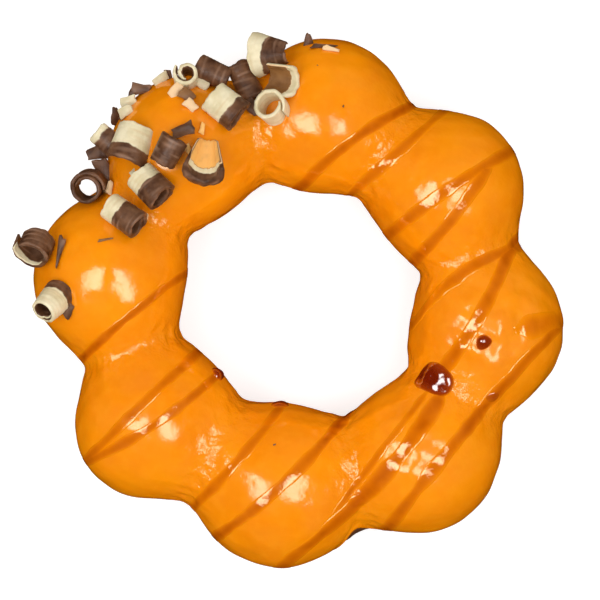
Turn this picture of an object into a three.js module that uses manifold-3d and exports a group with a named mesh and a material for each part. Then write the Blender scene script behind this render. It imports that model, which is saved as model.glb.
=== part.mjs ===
import * as THREE from 'three';
import { mergeVertices } from 'three/addons/utils/BufferGeometryUtils.js';
import Module from 'manifold-3d';

// A mochi doughnut: eight balls of fried dough joined in a ring under orange glaze,
// with lines and beads of caramel on it and rolled curls of two-tone chocolate along one side.
// Millimetres, +Z up. The ring lies flat and its hole runs along Z.

// Ring. around: degrees from +X to the ball's middle. outer, inner: how far out and in it reaches
// from the hole's axis. half: half of its width along the ring. crest: height of its top.
const BALLS = [
  { around: 37.7, outer: 45.1, inner: 19.0, half: 13.0, crest: 24.2 },
  { around: 82.0, outer: 45.7, inner: 19.4, half: 13.0, crest: 23.7 },
  { around: 127.0, outer: 45.3, inner: 20.1, half: 13.2, crest: 24.4 },
  { around: 172.5, outer: 46.2, inner: 20.2, half: 13.6, crest: 24.0 },
  { around: 219.0, outer: 46.3, inner: 18.6, half: 12.7, crest: 23.6 },
  { around: 263.7, outer: 45.8, inner: 18.0, half: 14.2, crest: 24.1 },
  { around: 308.3, outer: 46.8, inner: 21.0, half: 13.4, crest: 24.5 },
  { around: 351.7, outer: 45.6, inner: 19.7, half: 13.5, crest: 23.8 },
];
const RING_RADIUS = 32.4; // from the hole's axis to the middle of the dough
const MIDDLE_HEIGHT = 11.2; // level at which the balls are widest
const BLEND = 3.57; // how far neighbouring balls run into each other
const COLUMNS = 80; // facets round the ring
const ROWS = 24; // facets round its section
const RAY_STEP = 0.5; // of the search for the surface, which then halves it
const HALVINGS = 24;

// Caramel drizzle: each line runs from one plan point to the other, bowed sideways in the middle.
const DRIZZLE_HALF_WIDTH = 0.95;
const DRIZZLE_HEIGHT = 0.4;
const DRIZZLE_ROOT = 0.7; // how deep it is set into the glaze
const DRIZZLE_STEP = 3; // length of one facet
const DRIZZLE_SLACK = 4; // added to half of the plan length, as a line climbs and falls
const DRIZZLE_SHOULDER = 0.55; // share of the half width at which its top turns down
const DRIZZLE_SIDE = 0.3; // share of the height at which its side starts
const STEEP_LOSS = 0.6; // share of the height lost where the glaze stands upright
const END_WIDTH = 0.6; // shares of width and height that are left at a line's ends
const END_HEIGHT = 0.5;
const OVER_EDGE = 1.75; // radians from the vertical at which a line that runs over an edge ends
const EDGE_MARGIN = 2.4; // a line that ends this near the ring's outline runs on over the edge
const DRIZZLES = [
  { from: [18.4, 33.4], to: [0.8, 20.4], bow: -1.0 },
  { from: [24.3, 32.4], to: [9.8, 19.6], bow: 0.1 },
  { from: [37.3, 26.5], to: [15.8, 12.0], bow: -0.7 },
  { from: [32.9, 24.4], to: [20.1, 7.6], bow: 0.7 },
  { from: [37.8, 9.6], to: [19.5, -3.6], bow: -2.1 },
  { from: [35.7, 8.1], to: [23.3, -13.1], bow: 1.0 },
  { from: [24.4, -15.5], to: [-2.3, -44.7], bow: 2.1 },
  { from: [45.4, -3.2], to: [15.8, -37.9], bow: -0.8 },
  { from: [7.8, -19.5], to: [-14.1, -40.1], bow: 1.2 },
  { from: [-3.4, -18.1], to: [-17.7, -34.6], bow: 0.5 },
  { from: [-14.1, -12.4], to: [-37.0, -27.6], bow: 1.2 },
  { from: [-18.4, -9.5], to: [-36.2, -26.7], bow: -0.2 },
  { from: [-19.2, 5.2], to: [-37.1, -9.4], bow: -0.5 },
  { from: [21.9, -15.2], to: [5.2, -37.0], bow: 0.0 },
  { from: [45.3, -3.0], to: [36.6, -4.9], bow: 0.0 },
];

// Caramel beads. around: degrees from +X. over: degrees up from the outer side, so 90 is the crest.
const BEAD_SIDES = 12;
const BEAD_RINGS = 6;
const BEADS = [
  { around: 330.1, over: 124, long: 3.8, wide: 3.0, high: 1.25, turn: 10 },
  { around: 347.6, over: 91, long: 1.6, wide: 1.2, high: 0.9, turn: 30 },
  { around: 333.7, over: 62, long: 1.3, wide: 1.1, high: 0.35, turn: 0 },
  { around: 221.3, over: 164, long: 1.5, wide: 1.3, high: 0.9, turn: 0 },
  { around: 259.3, over: 168, long: 1.5, wide: 1.2, high: 0.7, turn: 0 },
];

// Chocolate curls: strips rolled up round an axis. around, over: as for the beads. lift: from the glaze
// to the curl's middle. heading, pitch: the axis, in degrees from +X and up from level.
// spin: where the roll starts, in degrees round the axis from level. front, back: radius at either end.
// thickness: of the strip, where it is not the usual one.
const STRIP_THICKNESS = 0.85;
const ROLL_CLEARANCE = 0.3; // between one turn of a strip and the next
const ROLL_STEP = 30; // degrees of roll to a facet
const CORNER_CUT = 0.22; // how much shorter a strip is where its roll starts and ends
const CLEAR_GAP = 0.3; // between a curl and what it lies on
const ROOM_SIDES = 16; // of the bar that stands for the room a curl takes up
const CURLS = [
  { around: 96.3, over: 37, lift: 3.0, heading: 5, pitch: 26,
    spin: -40, turns: 0.7, front: 1.9, back: 4.5, length: 6.4, tone: 'dark' },
  { around: 111.1, over: 75, lift: 2.6, heading: -38, pitch: 11,
    spin: 250, turns: 1.25, front: 3.5, back: 3.3, length: 6.2, tone: 'cream' },
  { around: 168.2, over: 29.5, lift: 2.8, heading: 248, pitch: 38,
    spin: 190, turns: 0.95, front: 3.5, back: 3.6, length: 4.2, tone: 'dark' },
  { around: 154.2, over: 84.5, lift: 2.3, heading: -35, pitch: 23,
    spin: 250, turns: 1.3, front: 3.1, back: 2.9, length: 6.9, tone: 'dark' },
  { around: 142.6, over: 90.5, lift: 2.6, heading: -45, pitch: 20,
    spin: 250, turns: 1.3, front: 3.4, back: 3.2, length: 6.2, tone: 'dark' },
  { around: 137.3, over: 55, lift: 0.4, heading: -112, pitch: 15,
    spin: -15, turns: 0.58, front: 3.9, back: 3.8, length: 7.0, tone: 'cream' },
  { around: 122.2, over: 99.5, lift: 3.3, heading: -96, pitch: 36,
    spin: 165, turns: 0.58, front: 4.3, back: 1.7, length: 7.8, tone: 'cream', thickness: 1.4 },
  { around: 151.4, over: 31, lift: 2.6, heading: 225, pitch: 74,
    spin: 40, turns: 1.5, front: 3.2, back: 3.1, length: 4.2, tone: 'dark', thickness: 0.65 },
  { around: 180, over: 46.5, lift: 2.3, heading: 228, pitch: 42,
    spin: 265, turns: 1.3, front: 2.6, back: 3.4, length: 6.0, tone: 'cream' },
  { around: 98.3, over: 85, lift: 1.9, heading: 135, pitch: 64,
    spin: 112, turns: 1.12, front: 3.1, back: 2.8, length: 4.8, tone: 'cream', thickness: 0.7 },
  { around: 95.8, over: 62.5, lift: 2.9, heading: -10, pitch: 34,
    spin: 165, turns: 0.58, front: 3.1, back: 2.8, length: 6.0, tone: 'cream' },
  { around: 116.6, over: 35, lift: 1.8, heading: 100, pitch: 72,
    spin: -50, turns: 1.35, front: 2.5, back: 2.5, length: 4.6, tone: 'cream', thickness: 0.82 },
  { around: 111.0, over: 34, lift: 2.2, heading: -24, pitch: 5,
    spin: -40, turns: 0.8, front: 2.3, back: 2.6, length: 6.2, tone: 'dark' },
  { around: 104.3, over: 45.5, lift: 1.8, heading: -65, pitch: 8,
    spin: -60, turns: 0.9, front: 2.6, back: 2.2, length: 7.0, tone: 'dark' },
  { around: 130.9, over: 84, lift: 2.2, heading: 62, pitch: 5,
    spin: 240, turns: 1.2, front: 3.0, back: 2.7, length: 5.2, tone: 'dark' },
  { around: 139.7, over: 31.5, lift: 2.2, heading: 140, pitch: 0,
    spin: -60, turns: 0.9, front: 2.3, back: 2.5, length: 4.8, tone: 'dark' },
];

// Splinters of chocolate between the curls: four-cornered flakes set into the glaze. lift, heading, pitch:
// as for the curls. long, wide: half of either side. blunt: how wide the front end is beside the back.
const FLAKE_THICKNESS = 0.9;
const FLAKE_FRONT = [[0.8, -0.75], [0.95, 0.65]]; // corners, as shares of long and wide
const FLAKE_BACK = [[-0.7, 0.8], [-0.95, -0.65]];
const FLAKES = [
  { around: 142.6, over: 9, lift: 1.3, heading: 198, pitch: 0, long: 3.2, wide: 2.9, blunt: 0.35 },
  { around: 134.6, over: 10, lift: 0.8, heading: 100, pitch: 25, long: 2.0, wide: 1.5, blunt: 0.35 },
  { around: 132.4, over: 23, lift: 0.4, heading: 30, pitch: 12, long: 1.5, wide: 1.3, blunt: 0.9 },
  { around: 133.3, over: 20, lift: 0.4, heading: 60, pitch: 20, long: 1.3, wide: 0.5, blunt: 0.6 },
  { around: 130.5, over: 14, lift: 0.5, heading: 25, pitch: 15, long: 1.6, wide: 1.4, blunt: 0.8 },
  { around: 126.9, over: 12, lift: 0.7, heading: 5, pitch: 10, long: 2.0, wide: 1.7, blunt: 0.5 },
  { around: 122.0, over: 13, lift: 0.5, heading: 45, pitch: 10, long: 1.8, wide: 1.4, blunt: 0.7 },
  { around: 120.0, over: 9, lift: 0.6, heading: -65, pitch: 0, long: 1.2, wide: 0.8, blunt: 0.4 },
  { around: 120.3, over: 42.5, lift: 0.7, heading: 55, pitch: 5, long: 1.7, wide: 1.3, blunt: 0.8 },
  { around: 118.6, over: 51, lift: 0.5, heading: -30, pitch: 5, long: 1.6, wide: 1.5, blunt: 0.8 },
  { around: 119.1, over: 61, lift: 0.4, heading: -40, pitch: 0, long: 1.4, wide: 1.3, blunt: 0.8 },
  { around: 114.2, over: 39, lift: 0.6, heading: -30, pitch: 5, long: 1.6, wide: 1.4, blunt: 0.8 },
  { around: 124.3, over: 76.5, lift: 0.5, heading: 22, pitch: 10, long: 2.3, wide: 1.1, blunt: 1.5 },
  { around: 88.0, over: 20, lift: 0.5, heading: 97, pitch: 10, long: 1.7, wide: 1.6, blunt: 0.35 },
  { around: 84.6, over: 27.5, lift: 0.2, heading: 0, pitch: 0, long: 2.6, wide: 0.6, blunt: 0.3 },
  { around: 83.0, over: 31.5, lift: 0.2, heading: -12, pitch: 0, long: 1.6, wide: 0.8, blunt: 0.4 },
  { around: 149.0, over: 45.0, lift: 0.3, heading: 80, pitch: 0, long: 1.3, wide: 0.9, blunt: 0.7 },
  { around: 182.0, over: 54, lift: 0.3, heading: 60, pitch: 10, long: 1.5, wide: 1.4, blunt: 0.6 },
  { around: 168.4, over: 43.5, lift: 0.2, heading: 259, pitch: 3, long: 3.3, wide: 1.0, blunt: 0.15 },
  { around: 103.9, over: 76, lift: 0.4, heading: -45, pitch: 0, long: 1.8, wide: 1.5, blunt: 0.9 },
  { around: 146.2, over: 22, lift: 0.8, heading: 118, pitch: 10, long: 2.6, wide: 2.1, blunt: 0.9 },
];

const GLAZE_COLOUR = 0xf58e14;
const GLAZE_ROUGHNESS = 0.25;
const CHOCOLATE_COLOURS = { dark: 0x4e3426, cream: 0xe9dfbd };
const CHOCOLATE_ROUGHNESS = 0.5;

const wasm = await Module();
wasm.setup();
const radians = THREE.MathUtils.degToRad;
const UP = new THREE.Vector3(0, 0, 1);
const WELD_DISTANCE = 1e-4;

function solidFrom(geometry) {
  const bare = geometry.clone();
  bare.deleteAttribute('normal');
  bare.deleteAttribute('uv');
  const merged = mergeVertices(bare, WELD_DISTANCE);
  return new wasm.Manifold(new wasm.Mesh({
    numProp: 3,
    vertProperties: new Float32Array(merged.attributes.position.array),
    triVerts: new Uint32Array(merged.index.array),
  }));
}

function geometryFrom(solid) {
  const mesh = solid.getMesh();
  const geometry = new THREE.BufferGeometry();
  geometry.setAttribute('position', new THREE.BufferAttribute(new Float32Array(mesh.vertProperties), 3));
  geometry.setIndex(new THREE.BufferAttribute(new Uint32Array(mesh.triVerts), 1));
  geometry.computeVertexNormals();
  return geometry;
}

function largestBody(solid) {
  const bodies = solid.decompose();
  bodies.sort((a, b) => b.volume() - a.volume());
  return bodies[0];
}

// Distance outside the bare ring: eight ellipsoids blended where they meet.
function outside(point) {
  let nearness = 0;
  for (const ball of BALLS) {
    const angle = radians(ball.around);
    const across = (ball.outer - ball.inner) / 2;
    const high = ball.crest - MIDDLE_HEIGHT;
    const u = point.x * Math.cos(angle) + point.y * Math.sin(angle) - (ball.outer + ball.inner) / 2;
    const v = point.y * Math.cos(angle) - point.x * Math.sin(angle);
    const w = point.z - MIDDLE_HEIGHT;
    const scaled = Math.hypot(u / across, v / ball.half, w / high);
    const slope = Math.hypot(u / across ** 2, v / ball.half ** 2, w / high ** 2);
    const distance = scaled * (scaled - 1) / Math.max(slope, 1e-9);
    nearness += Math.exp(-distance / BLEND);
  }
  return -BLEND * Math.log(nearness);
}

// The point where a ray from inside the dough comes out, at the given distance outside it.
function leave(start, direction, level = 0) {
  let near = 0;
  while (outside(start.clone().addScaledVector(direction, near + RAY_STEP)) < level) near += RAY_STEP;
  let far = near + RAY_STEP;
  for (let i = 0; i < HALVINGS; i++) {
    const middle = (near + far) / 2;
    if (outside(start.clone().addScaledVector(direction, middle)) < level) near = middle;
    else far = middle;
  }
  return start.clone().addScaledVector(direction, near);
}

function middleAt(around) {
  const angle = radians(around);
  return new THREE.Vector3(RING_RADIUS * Math.cos(angle), RING_RADIUS * Math.sin(angle), MIDDLE_HEIGHT);
}

function directionAt(around, over) {
  const flat = Math.cos(radians(over));
  return new THREE.Vector3(
    flat * Math.cos(radians(around)),
    flat * Math.sin(radians(around)),
    Math.sin(radians(over)),
  );
}

function surfaceAt(around, over, lift = 0) {
  const direction = directionAt(around, over);
  return leave(middleAt(around), direction).addScaledVector(direction, lift);
}

function normalAt(point) {
  const step = 0.05;
  const slope = (x, y, z) => outside(point.clone().add(new THREE.Vector3(x, y, z)))
    - outside(point.clone().sub(new THREE.Vector3(x, y, z)));
  return new THREE.Vector3(slope(step, 0, 0), slope(0, step, 0), slope(0, 0, step)).normalize();
}

// Rows of points, each row a closed loop, skinned into a closed tube. Flat ends close an open one.
function skin(loops, closed) {
  const count = loops[0].length;
  const positions = loops.flat().flatMap((p) => [p.x, p.y, p.z]);
  const faces = [];
  const last = closed ? loops.length : loops.length - 1;
  for (let i = 0; i < last; i++) {
    const here = i * count;
    const next = ((i + 1) % loops.length) * count;
    for (let j = 0; j < count; j++) {
      const k = (j + 1) % count;
      faces.push(here + j, next + j, next + k, here + j, next + k, here + k);
    }
  }
  if (!closed) {
    const end = (loops.length - 1) * count;
    for (let j = 1; j < count - 1; j++) {
      faces.push(0, j, j + 1, end, end + j + 1, end + j);
    }
  }
  const geometry = new THREE.BufferGeometry();
  geometry.setAttribute('position', new THREE.Float32BufferAttribute(positions, 3));
  geometry.setIndex(faces);
  return geometry;
}

// The ring, grown outward by level, with the undersides of the balls pressed flat.
function ringGeometry(level) {
  const loops = [];
  for (let i = 0; i < COLUMNS; i++) {
    const around = 360 * i / COLUMNS;
    const loop = [];
    for (let j = 0; j < ROWS; j++) {
      const point = leave(middleAt(around), directionAt(around, 360 * j / ROWS), level);
      point.z = Math.max(point.z, -level);
      loop.push(point);
    }
    loops.push(loop);
  }
  return skin(loops, true);
}

// How far from the vertical a line of drizzle runs towards one of its ends.
function endAngle(middle, end) {
  const level = new THREE.Vector3(end.x, end.y, MIDDLE_HEIGHT);
  if (outside(level) > -EDGE_MARGIN) return OVER_EDGE;
  const top = leave(level, UP);
  return Math.atan2(level.distanceTo(middle), top.z - MIDDLE_HEIGHT);
}

function drizzleGeometry({ from, to, bow }) {
  const start = new THREE.Vector3(from[0], from[1], MIDDLE_HEIGHT);
  const end = new THREE.Vector3(to[0], to[1], MIDDLE_HEIGHT);
  const middle = start.clone().add(end).multiplyScalar(0.5);
  const along = end.clone().sub(start).normalize();
  const sideways = UP.clone().cross(along);
  const halfLength = start.distanceTo(end) / 2;
  const first = -endAngle(middle, start);
  const final = endAngle(middle, end);
  const steps = Math.ceil(2 * (halfLength + DRIZZLE_SLACK) / DRIZZLE_STEP);
  const path = [];
  for (let i = 0; i <= steps; i++) {
    const angle = first + (final - first) * i / steps;
    const direction = along.clone().multiplyScalar(Math.sin(angle)).addScaledVector(UP, Math.cos(angle));
    const straight = leave(middle, direction);
    const share = straight.clone().sub(middle).dot(along) / halfLength;
    const shifted = middle.clone().addScaledVector(sideways, bow * Math.max(0, 1 - share * share));
    path.push(leave(shifted, direction));
  }
  const loops = path.map((point, i) => {
    const normal = normalAt(point);
    const ahead = path[Math.min(i + 1, steps)].clone().sub(path[Math.max(i - 1, 0)]);
    const side = normal.clone().cross(ahead).normalize();
    const atEnd = i === 0 || i === steps;
    const width = DRIZZLE_HALF_WIDTH * (atEnd ? END_WIDTH : 1);
    const steepness = 1 - normal.z ** 2;
    const height = DRIZZLE_HEIGHT * (1 - STEEP_LOSS * steepness) * (atEnd ? END_HEIGHT : 1);
    const corners = [
      [-1, -DRIZZLE_ROOT], [-1, DRIZZLE_SIDE * height], [-DRIZZLE_SHOULDER, height],
      [DRIZZLE_SHOULDER, height], [1, DRIZZLE_SIDE * height], [1, -DRIZZLE_ROOT],
    ];
    return corners.map(([across, up]) => point.clone()
      .addScaledVector(side, across * width)
      .addScaledVector(normal, up));
  });
  return skin(loops, false);
}

// A frame that stands on the glaze, its Z along the surface's normal, turned about it.
function standOn(around, over, turn) {
  const point = surfaceAt(around, over);
  const stand = new THREE.Matrix4().makeRotationFromQuaternion(
    new THREE.Quaternion().setFromUnitVectors(UP, normalAt(point)));
  stand.setPosition(point);
  return stand.multiply(new THREE.Matrix4().makeRotationZ(radians(turn)));
}

function beadGeometry({ around, over, long, wide, high, turn }) {
  return new THREE.SphereGeometry(1, BEAD_SIDES, BEAD_RINGS)
    .scale(long, wide, high)
    .applyMatrix4(standOn(around, over, turn));
}

// A curl's or flake's own frame: X along its axis, Z as near upright as the axis lets it.
function curlPlace({ around, over, lift, heading, pitch }) {
  const level = Math.cos(radians(pitch));
  const axis = new THREE.Vector3(
    level * Math.cos(radians(heading)),
    level * Math.sin(radians(heading)),
    Math.sin(radians(pitch)),
  );
  const side = UP.clone().cross(axis).normalize();
  const place = new THREE.Matrix4().makeBasis(axis, side, axis.clone().cross(side));
  return place.setPosition(surfaceAt(around, over, lift));
}

function flakeGeometry(flake) {
  const { long, wide, blunt } = flake;
  const corners = [...FLAKE_FRONT.map(([x, y]) => [x, y * blunt]), ...FLAKE_BACK];
  const outline = new THREE.Shape(corners.map(([x, y]) => new THREE.Vector2(x * long, y * wide)));
  return new THREE.ExtrudeGeometry(outline, { depth: FLAKE_THICKNESS, bevelEnabled: false })
    .translate(0, 0, -FLAKE_THICKNESS / 2)
    .applyMatrix4(curlPlace(flake));
}

// The strip rolled about X: its section, drawn round the roll, is a thin rectangle as long as the curl.
function curlGeometry({ spin, turns, front, back, length, thickness = STRIP_THICKNESS }) {
  const radius = Math.max(front, back);
  const steps = Math.round(360 * turns / ROLL_STEP);
  const loops = [];
  for (let i = 0; i <= steps; i++) {
    const share = i / steps;
    const angle = radians(spin + 360 * turns * share);
    const half = length / 2 * (1 - CORNER_CUT * Math.abs(2 * share - 1) ** 3);
    const reach = radius - (thickness + ROLL_CLEARANCE) * turns * share;
    const corner = (x, distance) => {
      const taper = THREE.MathUtils.lerp(back, front, x / length + 0.5) / radius;
      return new THREE.Vector3(x, distance * taper * Math.cos(angle), distance * taper * Math.sin(angle));
    };
    loops.push([
      corner(-half, reach), corner(half, reach),
      corner(half, reach - thickness), corner(-half, reach - thickness),
    ]);
  }
  return skin(loops, false);
}

// The room that a curl takes up, with the clear gap all round, as a closed round bar.
function curlRoom({ front, back, length }) {
  return new THREE.CylinderGeometry(front + CLEAR_GAP, back + CLEAR_GAP, length + 2 * CLEAR_GAP, ROOM_SIDES)
    .rotateZ(-Math.PI / 2);
}

let ring = solidFrom(ringGeometry(0));
for (const drizzle of DRIZZLES) ring = ring.add(solidFrom(drizzleGeometry(drizzle)));
for (const bead of BEADS) ring = ring.add(solidFrom(beadGeometry(bead)));
const keepOut = [];
let taken = solidFrom(ringGeometry(CLEAR_GAP));

const group = new THREE.Group();
const curls = CURLS.map((curl, index) => {
  const place = curlPlace(curl);
  const body = solidFrom(curlGeometry(curl).applyMatrix4(place)).subtract(taken);
  const room = solidFrom(curlRoom(curl).applyMatrix4(place));
  taken = taken.add(room);
  keepOut.push(room);
  const solid = largestBody(body);
  const mesh = new THREE.Mesh(
    geometryFrom(solid).applyMatrix4(place.clone().invert()),
    new THREE.MeshStandardMaterial({ color: CHOCOLATE_COLOURS[curl.tone], roughness: CHOCOLATE_ROUGHNESS }),
  );
  mesh.name = `curl_${String(index + 1).padStart(2, '0')}`;
  mesh.applyMatrix4(place);
  return mesh;
});

// Flakes are joined to the ring where they are clear of the curls.
for (const flake of FLAKES) {
  let solid = solidFrom(flakeGeometry(flake));
  for (const room of keepOut) solid = solid.subtract(room);
  ring = ring.add(solid);
}
const doughnut = new THREE.Mesh(
  geometryFrom(largestBody(ring)),
  new THREE.MeshStandardMaterial({ color: GLAZE_COLOUR, roughness: GLAZE_ROUGHNESS }),
);
doughnut.name = 'doughnut';
group.add(doughnut, ...curls);

// The whole stands centred on the origin.
const box = new THREE.Box3().setFromObject(group, true);
const centre = box.getCenter(new THREE.Vector3());
group.position.set(-centre.x, -centre.y, -box.min.z);

export default group;
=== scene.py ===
"""A mochi doughnut: fried dough under orange glaze, with caramel drizzle and two-tone chocolate curls.

Shapes are worked out in millimetres about the hole's axis, with +X to the right of the picture and +Y up
it, and are moved into the frame, in metres, when their meshes are made.
"""

import bpy
import numpy as np
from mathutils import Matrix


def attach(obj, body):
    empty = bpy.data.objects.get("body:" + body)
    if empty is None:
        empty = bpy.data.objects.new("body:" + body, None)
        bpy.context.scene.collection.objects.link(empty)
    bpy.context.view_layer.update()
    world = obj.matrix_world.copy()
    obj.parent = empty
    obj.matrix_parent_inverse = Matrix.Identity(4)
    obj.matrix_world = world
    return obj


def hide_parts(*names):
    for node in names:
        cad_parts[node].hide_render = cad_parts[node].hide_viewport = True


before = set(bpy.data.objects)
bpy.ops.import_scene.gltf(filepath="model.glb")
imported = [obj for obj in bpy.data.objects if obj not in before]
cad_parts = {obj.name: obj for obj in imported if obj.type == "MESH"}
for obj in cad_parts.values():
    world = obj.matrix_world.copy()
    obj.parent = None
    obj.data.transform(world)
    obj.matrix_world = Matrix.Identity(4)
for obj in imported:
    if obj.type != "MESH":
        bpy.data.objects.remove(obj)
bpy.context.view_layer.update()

MM = 0.001
UP = np.array((0.0, 0.0, 1.0))
HOLE_AXIS = np.array((1.944, -0.322, 0.0))  # where the hole's axis stands in the frame

# Ring: degrees round to each ball's middle, its reach out and in, half its width along the ring, its top
BALLS = (
    (37.7, 45.1, 19.0, 13.0, 24.2),
    (82.0, 45.7, 19.4, 13.0, 23.7),
    (127.0, 45.3, 20.1, 13.2, 24.4),
    (172.5, 46.2, 20.2, 13.6, 24.0),
    (219.0, 46.3, 18.6, 12.7, 23.6),
    (263.7, 45.8, 18.0, 14.2, 24.1),
    (308.3, 46.8, 21.0, 13.4, 24.5),
    (351.7, 45.6, 19.7, 13.5, 23.8),
)
RING_RADIUS = 32.4  # from the hole's axis to the middle of the dough
MIDDLE_HEIGHT = 11.2  # level at which the balls are widest
BLEND = 3.57  # how far neighbouring balls run into each other
RAY_STEP = 1.0  # of the search for the surface, which then halves it
RAY_STEPS = 24
HALVINGS = 18
COLUMNS = 480

# Glaze: it ends in an uneven rim below the widest level, given in degrees up from the outer side
GLAZE_ROWS = 140
GLAZE_BACK_ROWS = 28
GLAZE_DEPTH = 0.8  # from the bare ring down to the glaze's back
RIM_OUTER = -26.0
RIM_INNER = 206.0
RIM_WAVE = 5.0
RIM_LIP = 0.3
LIP_SPAN = 3.0
BARE_PATCH = 284.0  # degrees round to a neck where the glaze stops short of the side
BARE_PATCH_SPAN = 5.0
BARE_PATCH_RISE = 52.0
CREASE_DEPTH = 0.3  # of the fold along each neck
CREASE_SHARPNESS = 8  # the higher, the closer creases and wrinkles keep to the necks
WRINKLE_SHARPNESS = 3
RUMPLES = ((32.5, -3.4, 9.0, 1.1), (20.1, -25.8, 5.5, 0.6))  # plan places, reach and strength

# Dough
DOUGH_ROWS = 120
DOUGH_SUNK = 1.0  # below the bare ring, under the glaze
DOUGH_SUNK_SPAN = 8.0  # degrees from the rim over which it sinks
DOUGH_GAP = 0.05
PATCH_SHADE_TOP = 60.0  # degrees over, up to which the bare patch is darkened with painted shade

# Unevenness, as rows of height, wavelength and seed
WAVES = 14  # that each row is made of
WAVE_SPREAD = (0.75, 1.35)  # of their lengths, as shares of the wavelength
LUMPS = ((0.08, 9, 1), (0.03, 4, 2))
WRINKLES = ((0.08, 2.6, 3), (0.035, 1.5, 4))
RUMPLE_WAVES = ((0.2, 5, 11), (0.05, 1.8, 12))
OUTER_RIM_WAVES = ((0.7, 18, 5), (0.3, 6, 6))
INNER_RIM_WAVES = ((0.6, 14, 7), (0.3, 5, 8))
DOUGH_BUMPS = ((0.06, 3, 9), (0.03, 1.6, 10))

# Drizzle: plan points that each line runs between, how far it bows sideways, its shares of width and depth
DRIZZLE_HALF_WIDTH = 0.95
DRIZZLE_HEIGHT = 0.16
DRIZZLE_FLATNESS = 8  # the higher, the flatter the top
DRIZZLE_SHOULDER = 0.75  # the lower, the steeper the sides
DRIZZLE_ROOT = 0.35  # how deep a line's sides reach into the glaze
DRIZZLE_SINK = 0.04  # how far below the glaze its top meets them
DRIZZLE_STEP = 0.45
DRIZZLE_SLACK = 8.0  # added to half of the plan length, as a line climbs and falls
DRIZZLE_COLUMNS = 21
DRIZZLE_FADE = 3.0  # length over which a line thins towards its end
END_SHARE = 0.35  # of the width and height that is left there
STEEP_SHARE = 0.6  # of the height that is left where the glaze stands upright
POOLING = (0.9, 0.35)  # depth on a ball, and what a neck adds
OVER_EDGE = 1.75  # radians from the vertical at which a line that runs over an edge ends
EDGE_MARGIN = 2.4  # a line that ends this near the ring's outline runs on over the edge
DRIZZLE_WAVES = ((0.1, 9), (0.04, 3))
DRIZZLE_SEED = 20
DRIZZLES = (
    ((18.4, 33.4), (0.8, 20.4), -1.0, 1.15, 1.0),
    ((24.3, 32.4), (9.8, 19.6), 0.1, 1.1, 0.6),
    ((37.3, 26.5), (15.8, 12.0), -0.7, 1.2, 0.9),
    ((32.9, 24.4), (20.1, 7.6), 0.7, 1.2, 0.85),
    ((37.8, 9.6), (19.5, -3.6), -2.1, 1.2, 0.6),
    ((35.7, 8.1), (23.3, -13.1), 1.0, 1.4, 0.9),
    ((24.4, -15.5), (-2.3, -44.7), 2.1, 1.65, 1.0),
    ((45.4, -3.2), (15.8, -37.9), -0.8, 1.3, 0.95),
    ((7.8, -19.5), (-14.1, -40.1), 1.2, 1.1, 1.05),
    ((-3.4, -18.1), (-17.7, -34.6), 0.5, 1.0, 0.75),
    ((-14.1, -12.4), (-37.0, -27.6), 1.2, 0.95, 0.95),
    ((-18.4, -9.5), (-36.2, -26.7), -0.2, 1.0, 0.85),
    ((-19.2, 5.2), (-37.1, -9.4), -0.5, 0.9, 1.0),
    ((21.9, -15.2), (5.2, -37.0), 0.0, 0.75, 0.6),
    ((45.3, -3.0), (36.6, -4.9), 0.0, 2.0, 0.65),
)

# Beads of caramel: degrees round and over, half length, half width, height, turn
BEAD_RINGS = 14
BEAD_SIDES = 40
BEAD_FULLNESS = 0.6  # the lower, the blunter the dome
BEAD_SINK = 0.05  # how far its edge lies below the glaze
BEAD_WOBBLE = (0.08, 0.06)  # of its outline, twice and three times round
BEAD_DEPTH = (0.6, 2.5)  # depth of colour at the edge, and what a millimetre of height adds
BEADS = (
    (330.1, 124, 3.8, 3.0, 1.25, 10),
    (347.6, 91, 1.6, 1.2, 0.9, 30),
    (333.7, 62, 1.3, 1.1, 0.35, 0),
    (221.3, 164, 1.5, 1.3, 0.9, 0),
    (259.3, 168, 1.5, 1.2, 0.7, 0),
)

# Curls: where each strip lies, how it is rolled, and where it is cream, from -1 at its back to 1 at its
# front. slant moves that edge as the strip rolls on. The value of stain and painted light colours the cream
# lining, 0.5 as milk chocolate brown and 1 as amber, up to a place between its back and front. On curl_07
# the amber is painted orange light reflected from the glaze, and on curl_11 the milk brown is painted
# shade.
STRIP_THICKNESS = 0.85
ROLL_CLEARANCE = 0.1  # between one turn and the next
ROLL_STEP = 5.0  # degrees
STRIP_COLUMNS = 36
CORNER_CUT = 0.22  # share by which a strip is narrower where it starts and ends
TIP_THICKNESS = 0.55  # share that is left where a strip starts and ends
TIP_SPAN = 0.12
EDGE_ROUNDING = (0.3, 0.2)  # share of the thickness, and the most in millimetres
STRIP_WAVES = ((0.05, 5), (0.03, 1.6))
RAGGED_ENDS = 0.5
RAGGED_ROLL = 0.6
RIDGE_HEIGHT = 0.018  # of the ridges that run along a strip
RIDGE_WIDTH = 0.5
RIDGE_DRIFT = 0.1  # how far they wander from one end of the strip to the other
STREAK_WIDTH = 0.9  # of the streaks that run along a strip
STREAK_STRETCH = 0.12  # their width over their length
LINING_SHIFT = 3.0  # gives the lining streaks of its own
CURL_SEED = 100
SEEDS_TO_A_CURL = 5
PLACE_KEYS = ("around", "over", "lift", "heading", "pitch")
CHOCOLATE_KEYS = ("tone", "stain", "streak")
DARK = (2, 2)
CREAM = (-2, 2)
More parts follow.
